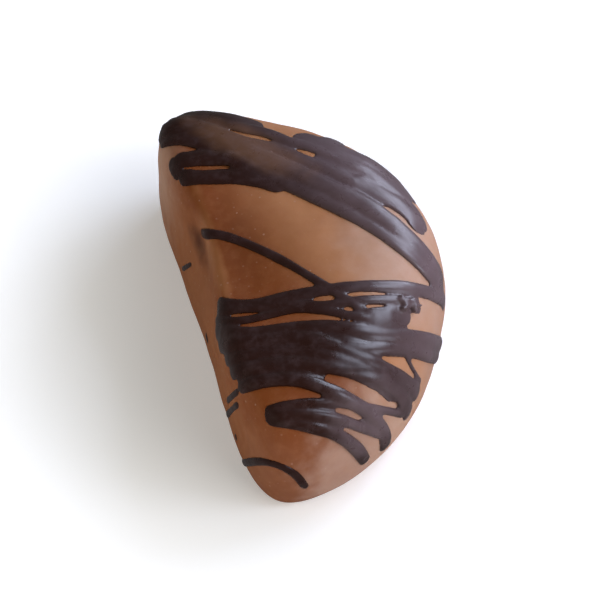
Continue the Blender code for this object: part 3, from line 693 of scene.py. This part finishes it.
def strand_guides(tree, sizes):
    """Return a mesh of the strands' middle lines, with each point's lie, half width, crown and lift."""
    places, edges, lies, halves, crowns, raised = [], [], [], [], [], []
    laid = []
    for width, crown, before, after, pixels in (*FLOWS.values(), *STRANDS.values()):
        line, length = even_steps(strand_line(tree, pixels, before, after), STRAND_STEP)
        first = len(places)
        last = len(line) - 1
        line_lifts = lifts(line, laid)
        crown *= sizes.fullness
        half = width / 2.0 + sizes.spread
        normals = evened([tree.find_nearest(place)[1] for place in line], LIE_ROUNDS)
        for index, place in enumerate(line):
            firm = 1.0 - SINK_SHARE * line_lifts[index] / (line_lifts[index] + crown)
            from_end = length * min(index, last - index) / last
            share = min(1.0, from_end / (END_WIDTHS * width))
            share = max(END_SHARE, math.sqrt(1.0 - (1.0 - share) ** 2))
            thin = THIN_SHARE + (1.0 - THIN_SHARE) * blend(0.0, THIN_WIDTHS * width, from_end)
            half_here = half * share
            crown_here = crown * firm * share * thin
            places.append(to_frame(place))
            lies.append(normals[index].normalized())
            halves.append(half_here * MM)
            crowns.append(crown_here * MM)
            raised.append(line_lifts[index] * MM)
            laid.append((place, half_here, crown_here + line_lifts[index]))
        edges += [(index, index + 1) for index in range(first, first + last)]
    mesh = bpy.data.meshes.new("strand_guides")
    mesh.from_pydata(places, edges, [])
    for name, kind, field, values in (("lie", "FLOAT_VECTOR", "vector", [c for lie in lies for c in lie]),
                                      ("half_width", "FLOAT", "value", halves),
                                      ("crown", "FLOAT", "value", crowns),
                                      ("lift", "FLOAT", "value", raised)):
        mesh.attributes.new(name, kind, "POINT").data.foreach_set(field, values)
    return mesh


def bubble_guides(tree):
    """Return a mesh of points where air bubbles lie, each with its radius."""
    draw = random.Random(BUBBLE_SEED)
    places, radii = [], []
    for x, y in BUBBLE_TRAIL:
        for _ in range(BUBBLES_PER_PLACE):
            place = on_coat(tree, Vector([pixel + draw.uniform(-1, 1) * BUBBLE_SPREAD for pixel in (x, y)]))
            radius = draw.uniform(*BUBBLE_RADII)
            normal = tree.find_nearest(place)[1]
            places.append(to_frame(place + normal * draw.uniform(*BUBBLE_HEIGHTS)))
            radii.append(radius * MM)
    mesh = bpy.data.meshes.new("bubble_guides")
    mesh.from_pydata(places, [], [])
    mesh.attributes.new("bubble_radius", "FLOAT", "POINT").data.foreach_set("value", radii)
    return mesh


def add(tree, kind, inputs=(), **settings):
    """Add a node, make its settings, and fill its inputs, by name or number, with values or links."""
    node = tree.nodes.new(kind)
    for name, value in settings.items():
        setattr(node, name, value)
    for name, value in dict(inputs).items():
        if isinstance(value, bpy.types.NodeSocket):
            tree.links.new(value, node.inputs[name])
        else:
            node.inputs[name].default_value = value
    return node


def drizzle_tree():
    """Return the node tree that lays a rounded strand along each guide and adds the bubbles."""
    tree = bpy.data.node_groups.new("drizzle_strands", "GeometryNodeTree")
    for name, kind in (("Geometry", "Geometry"), ("Bubbles", "Object"), ("Sunk", "Float"),
                       ("Unevenness", "Float"), ("Uneven length", "Float"), ("Flatness", "Float"),
                       ("Sides", "Int"), ("Seed", "Int"), ("Chocolate", "Material")):
        tree.interface.new_socket(name, in_out="INPUT", socket_type="NodeSocket" + kind)
    tree.interface.new_socket("Geometry", in_out="OUTPUT", socket_type="NodeSocketGeometry")
    given = add(tree, "NodeGroupInput").outputs

    # A guide point keeps its place and the direction of its strand.
    guides = add(tree, "GeometryNodeMeshToCurve", {"Mesh": given["Geometry"]})
    here = add(tree, "GeometryNodeInputPosition").outputs["Position"]
    heading = add(tree, "GeometryNodeInputTangent").outputs["Tangent"]
    kept = add(tree, "GeometryNodeCaptureAttribute", {"Geometry": guides.outputs["Curve"]}, domain="POINT")
    for name, source in (("place", here), ("heading", heading)):
        kept.capture_items.new("VECTOR", name)
        tree.links.new(source, kept.inputs[name])

    # The profile is a unit circle whose points keep their place on it.
    circle = add(tree, "GeometryNodeCurvePrimitiveCircle", {"Resolution": given["Sides"], "Radius": 1.0})
    ring = add(tree, "GeometryNodeCaptureAttribute", {"Geometry": circle.outputs["Curve"]}, domain="POINT")
    ring.capture_items.new("VECTOR", "on_ring")
    tree.links.new(here, ring.inputs["on_ring"])
    swept = add(tree, "GeometryNodeCurveToMesh",
                {"Curve": kept.outputs["Geometry"], "Profile Curve": ring.outputs["Geometry"],
                 "Scale": MM, "Fill Caps": True})

    # Noise along a strand makes its width and crown vary slowly.
    along = add(tree, "ShaderNodeVectorMath", {0: kept.outputs["place"], "Scale": 1.0 / MM},
                operation="SCALE")
    frequency = add(tree, "ShaderNodeMath", {0: 1.0, 1: given["Uneven length"]}, operation="DIVIDE")
    wander = add(tree, "ShaderNodeTexNoise",
                 {"Vector": along.outputs["Vector"], "W": given["Seed"], "Scale": frequency.outputs[0],
                  "Detail": 1.0}, noise_dimensions="4D")
    on_ring = add(tree, "ShaderNodeSeparateXYZ", {0: ring.outputs["on_ring"]})
    known = {"wander": wander.outputs["Fac"], "across": on_ring.outputs["X"], "up": on_ring.outputs["Y"],
             "unevenness": given["Unevenness"], "flatness": given["Flatness"], "sunk": given["Sunk"]}
    for name, kind in (("lie", "FLOAT_VECTOR"), ("half_width", "FLOAT"), ("crown", "FLOAT"),
                       ("lift", "FLOAT"), ("bubble_radius", "FLOAT")):
        known[name] = add(tree, "GeometryNodeInputNamedAttribute", {"Name": name},
                          data_type=kind).outputs["Attribute"]

    # A point goes aside by the half width, and from the lift up by the crown or down into the coat. Each sum
    # has its name, what it does, and its terms: numbers and the names of what is known before it.
    sums = (("centred", "SUBTRACT", "wander", 0.5),
            ("doubled", "MULTIPLY", "centred", 2.0),
            ("swell", "MULTIPLY_ADD", "doubled", "unevenness", 1.0),
            ("half_here", "MULTIPLY", "half_width", "swell"),
            ("aside", "MULTIPLY", "across", "half_here"),
            ("crown_here", "MULTIPLY", "crown", "swell"),
            ("above", "MAXIMUM", "up", 0.0),
            ("bulge", "POWER", "above", "flatness"),
            ("below", "MINIMUM", "up", 0.0),
            ("depth", "ADD", "sunk", "lift"),
            ("sink", "MULTIPLY_ADD", "below", "depth", "lift"),
            ("rise", "MULTIPLY_ADD", "bulge", "crown_here", "sink"))
    for name, operation, *terms in sums:
        inputs = {number: known.get(term, term) for number, term in enumerate(terms)}
        known[name] = add(tree, "ShaderNodeMath", inputs, operation=operation).outputs[0]
    side_way = add(tree, "ShaderNodeVectorMath", {0: known["lie"], 1: kept.outputs["heading"]},
                   operation="CROSS_PRODUCT")
    place = kept.outputs["place"]
    for way, length in ((side_way.outputs["Vector"], "aside"), (known["lie"], "rise")):
        step = add(tree, "ShaderNodeVectorMath", {0: way, "Scale": known[length]}, operation="SCALE")
        place = add(tree, "ShaderNodeVectorMath", {0: place, 1: step.outputs["Vector"]},
                    operation="ADD").outputs["Vector"]
    strands = add(tree, "GeometryNodeSetPosition", {"Geometry": swept.outputs["Mesh"], "Position": place})

    # Bubbles are small balls at their own guide points.
    bubble_object = add(tree, "GeometryNodeObjectInfo", {"Object": given["Bubbles"]})
    ball = add(tree, "GeometryNodeMeshIcoSphere", {"Radius": 1.0, "Subdivisions": 2})
    balls = add(tree, "GeometryNodeInstanceOnPoints",
                {"Points": bubble_object.outputs["Geometry"], "Instance": ball.outputs["Mesh"],
                 "Scale": known["bubble_radius"]})
    joined = add(tree, "GeometryNodeJoinGeometry")
    for part in (balls.outputs["Instances"], strands.outputs["Geometry"]):
        tree.links.new(part, joined.inputs["Geometry"])
    real = add(tree, "GeometryNodeRealizeInstances", {"Geometry": joined.outputs["Geometry"]})
    finished = add(tree, "GeometryNodeSetMaterial",
                   {"Geometry": real.outputs["Geometry"], "Material": given["Chocolate"]})
    add(tree, "NodeGroupOutput", {"Geometry": finished.outputs["Geometry"]})
    return tree


def set_inputs(modifier, values):
    """Set a node modifier's inputs by their names, through the sockets' identifiers."""
    for socket in modifier.node_group.interface.items_tree:
        if socket.in_out == "INPUT" and socket.name in values:
            modifier[socket.identifier] = values[socket.name]


def new_material(name, finish):
    """Return a material with its tree, its Principled shader in a finish, and its Object coordinates."""
    material = bpy.data.materials.new(name)
    material.use_nodes = True
    tree = material.node_tree
    shader = tree.nodes["Principled BSDF"]
    for socket, value in finish.items():
        shader.inputs[socket].default_value = value
    place = add(tree, "ShaderNodeTexCoord").outputs["Object"]
    return material, tree, shader, place


def per_metre(size):
    """Return a texture's scale for features of a size in millimetres."""
    return 1.0 / (size * MM)


def varied(tree, place, pattern):
    """Return a value that wanders over the surface as a pattern says."""
    wander = add(tree, "ShaderNodeTexNoise",
                 {"Vector": place, "Scale": per_metre(pattern["size"]), "Detail": pattern["detail"],
                  "Roughness": pattern["roughness"]})
    return add(tree, "ShaderNodeMapRange",
               {"Value": wander.outputs["Fac"], "From Min": pattern["from"][0],
                "From Max": pattern["from"][1], "To Min": pattern["to"][0],
                "To Max": pattern["to"][1]}).outputs["Result"]


def spread_share(tree, place, spread, full=1.0):
    """Return a share that grows from 0 to full along a spread's way."""
    angle = math.radians(spread["angle"])
    reach = add(tree, "ShaderNodeVectorMath", {0: place, 1: (math.cos(angle), math.sin(angle), 0.0)},
                operation="DOT_PRODUCT")
    return add(tree, "ShaderNodeMapRange",
               {"Value": reach.outputs["Value"], "From Min": spread["from"] * MM,
                "From Max": spread["to"] * MM, "To Min": 0.0, "To Max": full},
               interpolation_type="SMOOTHSTEP").outputs["Result"]


def patch_share(tree, place, patch, full=None):
    """Return a share that is full in the middle of an oval patch and fades out at its uneven edge."""
    inside = add(tree, "ShaderNodeMapping",
                 {"Vector": place, "Location": [c * MM for c in patch["middle"]],
                  "Rotation": (0.0, 0.0, math.radians(patch.get("turn", 0.0))),
                  "Scale": [c * MM for c in patch["half"]]}, vector_type="TEXTURE")
    edge = add(tree, "ShaderNodeTexNoise",
               {"Vector": place, "Scale": per_metre(EDGE_SIZE), "Detail": EDGE_DETAIL})
    centred = add(tree, "ShaderNodeVectorMath", {0: edge.outputs["Color"], 1: (0.5, 0.5, 0.5)},
                  operation="SUBTRACT")
    uneven = add(tree, "ShaderNodeVectorMath",
                 {0: centred.outputs["Vector"], 1: (EDGE_SHARE,) * 3, 2: inside.outputs["Vector"]},
                 operation="MULTIPLY_ADD")
    away = add(tree, "ShaderNodeVectorMath", {0: uneven.outputs["Vector"]}, operation="LENGTH")
    return add(tree, "ShaderNodeMapRange",
               {"Value": away.outputs["Value"], "From Min": patch["fade"][0], "From Max": patch["fade"][1],
                "To Min": patch["full"] if full is None else full, "To Max": 0.0},
               interpolation_type="SMOOTHSTEP").outputs["Result"]


def clouded(tree, place, share):
    """Return a painted sheen's share, made uneven as dry haze is."""
    return add(tree, "ShaderNodeMath", {0: share, 1: varied(tree, place, SHEEN_CLOUDS)},
               operation="MULTIPLY", use_clamp=True).outputs[0]


def specks(tree, place, pattern):
    """Return a share that is high in fine specks, a few of them strong, and none between them."""
    cells = add(tree, "ShaderNodeTexVoronoi", {"Vector": place, "Scale": per_metre(pattern["apart"])})
    strength = add(tree, "ShaderNodeSeparateColor", {0: cells.outputs["Color"]}).outputs["Red"]
    for operation, number in (("POWER", pattern["rarity"]), ("MULTIPLY", pattern["full"])):
        strength = add(tree, "ShaderNodeMath", {0: strength, 1: number}, operation=operation).outputs[0]
    return add(tree, "ShaderNodeMapRange",
               {"Value": cells.outputs["Distance"], "From Min": pattern["fade"][0],
                "From Max": pattern["fade"][1], "To Min": strength, "To Max": 0.0},
               interpolation_type="SMOOTHSTEP").outputs["Result"]


def laid_over(tree, tone, layers):
    """Return a tone with colours laid over it one after another, each by its share."""
    for share, colour in layers:
        tone = add(tree, "ShaderNodeMix", {"Factor": share, "A": tone, "B": colour},
                   data_type="RGBA").outputs["Result"]
    return tone


def give_skin(tree, place, shader, gloss, relief):
    """Give a shader an uneven gloss and a fine relief."""
    tree.links.new(varied(tree, place, gloss), shader.inputs["Roughness"])
    grain = add(tree, "ShaderNodeTexNoise",
                {"Vector": place, "Scale": per_metre(relief["size"]), "Detail": relief["detail"]})
    bump = add(tree, "ShaderNodeBump", {"Height": grain.outputs["Fac"], "Strength": relief["strength"],
                                        "Distance": relief["depth"] * MM})
    tree.links.new(bump.outputs["Normal"], shader.inputs["Normal"])


def milk_chocolate(colours):
    """Return milk chocolate, enrobed and set."""
    # It sets to a fine-grained satin skin, with pale mottling and pale specks of fat. Its colour also holds
    # painted
    # light: painted sheen towards the round side and on the near tip, painted light on the cut wall, a
    # painted highlight on the rim, a painted reflection at the wall's far end, and painted shade in the
    # hollow and the dent.
    material, tree, shader, place = new_material("milk_chocolate_enrobed", {
        "IOR": 1.46, "Specular IOR Level": 0.35, "Subsurface Weight": 0.1,
        "Subsurface Radius": (1.0, 0.4, 0.2), "Subsurface Scale": 1.0 * MM})
    face_sheen = patch_share(tree, place, FACE_SHEEN, colours.sheen_share)
    near_sheen = patch_share(tree, place, TIP_SHEEN, colours.tip_sheen)
    tone = laid_over(tree, colours.milk_deep, (
        (varied(tree, place, MILK_CLOUDS), colours.milk),
        # Painted shade in the hollow; painted light on the cut wall, a painted highlight on its rim, painted
        # shade in its dent.
        (patch_share(tree, place, HOLLOW_SHADE), colours.painted_hollow_shade),
        (patch_share(tree, place, WALL_PAINTED_LIGHT), colours.pale_and_sheen),
        (patch_share(tree, place, RIM_HIGHLIGHT), colours.pale_and_sheen),
        (patch_share(tree, place, RIM_DENT_SHADE), colours.painted_dent_shade),
        # Painted sheen towards the round side, on the broad face, on the near tip and low on the round side.
        (clouded(tree, place, spread_share(tree, place, MILK_SHEEN_SPREAD)), colours.pale_and_sheen),
        (clouded(tree, place, face_sheen), colours.sheen_and_haze),
        (clouded(tree, place, near_sheen), colours.sheen_and_haze),
        (clouded(tree, place, patch_share(tree, place, SIDE_SHEEN)), colours.side_sheen),
        # Painted reflection at the wall's far end, and painted sheen on the wall by the near tip.
        (patch_share(tree, place, WALL_REFLECTION), colours.sheen_and_haze),
        (patch_share(tree, place, TIP_WALL_SHEEN), colours.sheen_and_haze),
        (varied(tree, place, MILK_MOTTLE), colours.pale_and_sheen),
        (specks(tree, place, SPECKS), colours.sheen_and_haze)))
    tree.links.new(tone, shader.inputs["Base Color"])
    give_skin(tree, place, shader, MILK_GLOSS, MILK_GRAIN)
    return material


def dark_chocolate(colours):
    """Return dark chocolate, drizzled and set."""
    # It sets to a tight satin gloss with soft ripples, browner where it is thin. Its colour also holds
    # painted
    # sheen: towards the round side, on the near tip, where the far band starts, and mottled like bloom on
    # its crests.
    material, tree, shader, place = new_material("dark_chocolate_drizzled", {
        "IOR": 1.45, "Specular IOR Level": 0.6})
    # Painted sheen towards the round side and on the near tip.
    side_sheen = spread_share(tree, place, DARK_SHEEN_SPREAD, colours.sheen_share)
    near_sheen = patch_share(tree, place, DARK_TIP_SHEEN, colours.tip_sheen)
    # Painted sheen on the crests, mottled like bloom.
    crest = add(tree, "ShaderNodeAttribute", attribute_name="crest").outputs["Fac"]
    crest_sheen_and_bloom = add(tree, "ShaderNodeMath", {0: crest, 1: varied(tree, place, DARK_MOTTLE)},
                     operation="MULTIPLY")
    tone = laid_over(tree, colours.dark, (
        (varied(tree, place, DARK_CLOUDS), colours.dark_thin),
        # Painted sheen where the far band starts, as a browner film.
        (patch_share(tree, place, FAR_BAND_SHEEN), colours.far_film_sheen),
        (clouded(tree, place, side_sheen), colours.sheen_and_haze),
        (clouded(tree, place, near_sheen), colours.sheen_and_haze),
        (crest_sheen_and_bloom.outputs[0], colours.sheen_and_haze)))
    tree.links.new(tone, shader.inputs["Base Color"])
    give_skin(tree, place, shader, DARK_GLOSS, DARK_RIPPLES)
    return material


def white_card(colour, glow, painted_shadow_glow):
    """Return matt white card on a light table, its glow dimmed around the slice as a painted shadow."""
    # Uncoated card is dull and even, and only a little cloudy.
    material, tree, shader, place = new_material("white_card_matt", {
        "Emission Color": colour, "Roughness": 0.9, "Specular IOR Level": 0.1})
    # The dimmer glow close around the slice is a painted shadow.
    away = add(tree, "ShaderNodeVectorMath", {0: place}, operation="LENGTH")
    lit = add(tree, "ShaderNodeMapRange",
              {"Value": away.outputs["Value"], "From Min": GLOW_REACH[0] * MM,
               "From Max": GLOW_REACH[1] * MM, "To Min": painted_shadow_glow, "To Max": glow},
              interpolation_type="SMOOTHSTEP")
    tree.links.new(lit.outputs["Result"], shader.inputs["Emission Strength"])
    tone = add(tree, "ShaderNodeMix",
               {"Factor": 1.0, "A": colour, "B": varied(tree, place, CARD_CLOUDS)},
               data_type="RGBA", blend_type="MULTIPLY")
    tree.links.new(tone.outputs["Result"], shader.inputs["Base Color"])
    return material


def settle(piece, chocolate):
    """Give a finished piece its chocolate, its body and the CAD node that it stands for."""
    piece.data.shade_smooth()
    piece.data.materials.clear()
    piece.data.materials.append(chocolate)
    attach(piece, "root")
    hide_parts(NODE)


def make_floor(sizes):
    """Lay a large pale floor under the slice."""
    bm = bmesh.new()
    bmesh.ops.create_grid(bm, x_segments=1, y_segments=1, size=FLOOR_HALF)
    mesh = bpy.data.meshes.new("floor")
    bm.to_mesh(mesh)
    bm.free()
    mesh.materials.append(white_card(sizes.floor, sizes.floor_glow, sizes.painted_shadow_glow))
    floor = new_object("floor", mesh)
    floor.visible_glossy = False


def aim(item, place, back):
    """Put a lamp or camera at a place, with its back to a direction."""
    item.location = place
    item.rotation_mode = "QUATERNION"
    item.rotation_quaternion = (-back).to_track_quat("-Z", "Y")


def hang_lamps(sizes):
    """Hang the square soft lamps that face the slice."""
    for name, (power, azimuth, elevation, distance, side, colour, shows) in LAMPS.items():
        lamp = bpy.data.lights.new(name, "AREA")
        lamp.energy = getattr(sizes, power)
        lamp.size = side
        lamp.color = from_hex(colour)[:3]
        item = new_object(name, lamp)
        item.visible_glossy = shows
        back = direction(VIEW_AZIMUTH + math.radians(azimuth), math.radians(elevation))
        aim(item, back * distance, back)


def light_surroundings(sizes):
    """Light the slice a little from all round, by brightness near the horizon and overhead."""
    world = bpy.data.worlds.new("surroundings")
    world.use_nodes = True
    tree = world.node_tree
    way = add(tree, "ShaderNodeSeparateXYZ", {0: add(tree, "ShaderNodeTexCoord").outputs["Generated"]})
    strength = add(tree, "ShaderNodeMapRange",
                   {"Value": way.outputs["Z"], "From Min": HORIZON_TOP, "From Max": OVERHEAD_START,
                    "To Min": sizes.horizon, "To Max": sizes.overhead}, interpolation_type="SMOOTHSTEP")
    background = tree.nodes["Background"]
    background.inputs["Color"].default_value = (1.0, 1.0, 1.0, 1.0)
    tree.links.new(strength.outputs["Result"], background.inputs["Strength"])
    bpy.context.scene.world = world


def make_camera():
    """Look along the photograph's line of sight."""
    eye, _, _, back = sight_axes()
    lens = bpy.data.cameras.new("camera")
    lens.sensor_width = SENSOR_WIDTH
    lens.lens = SENSOR_WIDTH * VIEW_DISTANCE * PIXELS_PER_MM / PHOTO_SIDE
    lens.shift_x = 0.5 - AIM_PIXEL[0] / PHOTO_SIDE
    lens.shift_y = AIM_PIXEL[1] / PHOTO_SIDE - 0.5
    lens.clip_start = 0.01
    lens.clip_end = 10.0
    camera = new_object("camera", lens)
    aim(camera, to_frame(eye), back)
    bpy.context.scene.camera = camera
    bpy.context.scene.view_settings.view_transform = "Standard"


class SLICE_OT_coat(bpy.types.Operator):
    """Make the milk chocolate coat over the half"""
    bl_idname = "slice.coat"
    bl_label = "Milk chocolate coat"

    def execute(self, context):
        sizes = context.scene.slice_coat
        mesh = bare_coat_mesh(sizes)
        to_metres(mesh)
        settle(new_object("milk_coat", mesh), milk_chocolate(sizes))
        return {"FINISHED"}


class SLICE_OT_drizzle(bpy.types.Operator):
    """Lay the dark chocolate drizzle over the coat"""
    bl_idname = "slice.drizzle"
    bl_label = "Dark chocolate drizzle"

    def execute(self, context):
        sizes = context.scene.slice_drizzle
        tree = surface_tree(bpy.data.objects["milk_coat"].data)
        bubbles = new_object("bubble_guides", bubble_guides(tree))
        piece = new_object("dark_drizzle", strand_guides(tree, sizes))
        chocolate = dark_chocolate(sizes)
        lay = piece.modifiers.new("lay", "NODES")
        lay.node_group = drizzle_tree()
        set_inputs(lay, {"Bubbles": bubbles, "Sunk": sizes.sunk * MM, "Unevenness": sizes.unevenness,
                         "Uneven length": sizes.uneven_length, "Flatness": sizes.flatness,
                         "Sides": STRAND_SIDES, "Seed": UNEVEN_SEED, "Chocolate": chocolate})
        join = piece.modifiers.new("join", "REMESH")
        join.mode = "VOXEL"
        join.voxel_size = sizes.grain * MM
        flow = piece.modifiers.new("flow", "SMOOTH")
        flow.iterations = sizes.runs_together
        flow.factor = FLOW_FACTOR
        mesh = evaluated_mesh(piece)
        piece.modifiers.clear()
        piece.data = mesh
        bpy.data.objects.remove(bubbles)
        mark_crests(mesh, tree, CREST_HEIGHT)
        settle(piece, chocolate)
        return {"FINISHED"}


class SLICE_OT_stage(bpy.types.Operator):
    """Set the floor, the lights and the camera"""
    bl_idname = "slice.stage"
    bl_label = "Stage"

    def execute(self, context):
        sizes = context.scene.slice_stage
        make_floor(sizes)
        hang_lamps(sizes)
        light_surroundings(sizes)
        make_camera()
        return {"FINISHED"}


class SLICE_PT_panel(bpy.types.Panel):
    """Lists the pieces of the slice"""
    bl_idname = "SLICE_PT_panel"
    bl_label = "Glace apricot slice"
    bl_space_type = "VIEW_3D"
    bl_region_type = "UI"
    bl_category = "Slice"

    def draw(self, context):
        groups = (("slice_coat", "slice.coat"), ("slice_drizzle", "slice.drizzle"),
                  ("slice_stage", "slice.stage"))
        for group, operator in groups:
            box = self.layout.box()
            sizes = getattr(context.scene, group)
            for name in sizes.__annotations__:
                box.prop(sizes, name)
            box.operator(operator)


GROUPS = {"slice_coat": SliceCoatProperties, "slice_drizzle": SliceDrizzleProperties,
          "slice_stage": SliceStageProperties}
CLASSES = (*GROUPS.values(), SLICE_OT_coat, SLICE_OT_drizzle, SLICE_OT_stage, SLICE_PT_panel)


def register():
    """Register the classes and hang their properties on the scene."""
    for kind in CLASSES:
        bpy.utils.register_class(kind)
    for name, group in GROUPS.items():
        setattr(bpy.types.Scene, name, PointerProperty(type=group))


def unregister():
    """Take the properties and the classes away again."""
    for name in GROUPS:
        delattr(bpy.types.Scene, name)
    for kind in reversed(CLASSES):
        bpy.utils.unregister_class(kind)


def main():
    """Make the slice and its stage."""
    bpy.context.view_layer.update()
    register()
    bpy.ops.slice.coat()
    bpy.ops.slice.drizzle()
    bpy.ops.slice.stage()


if __name__ == "__main__":
    main()
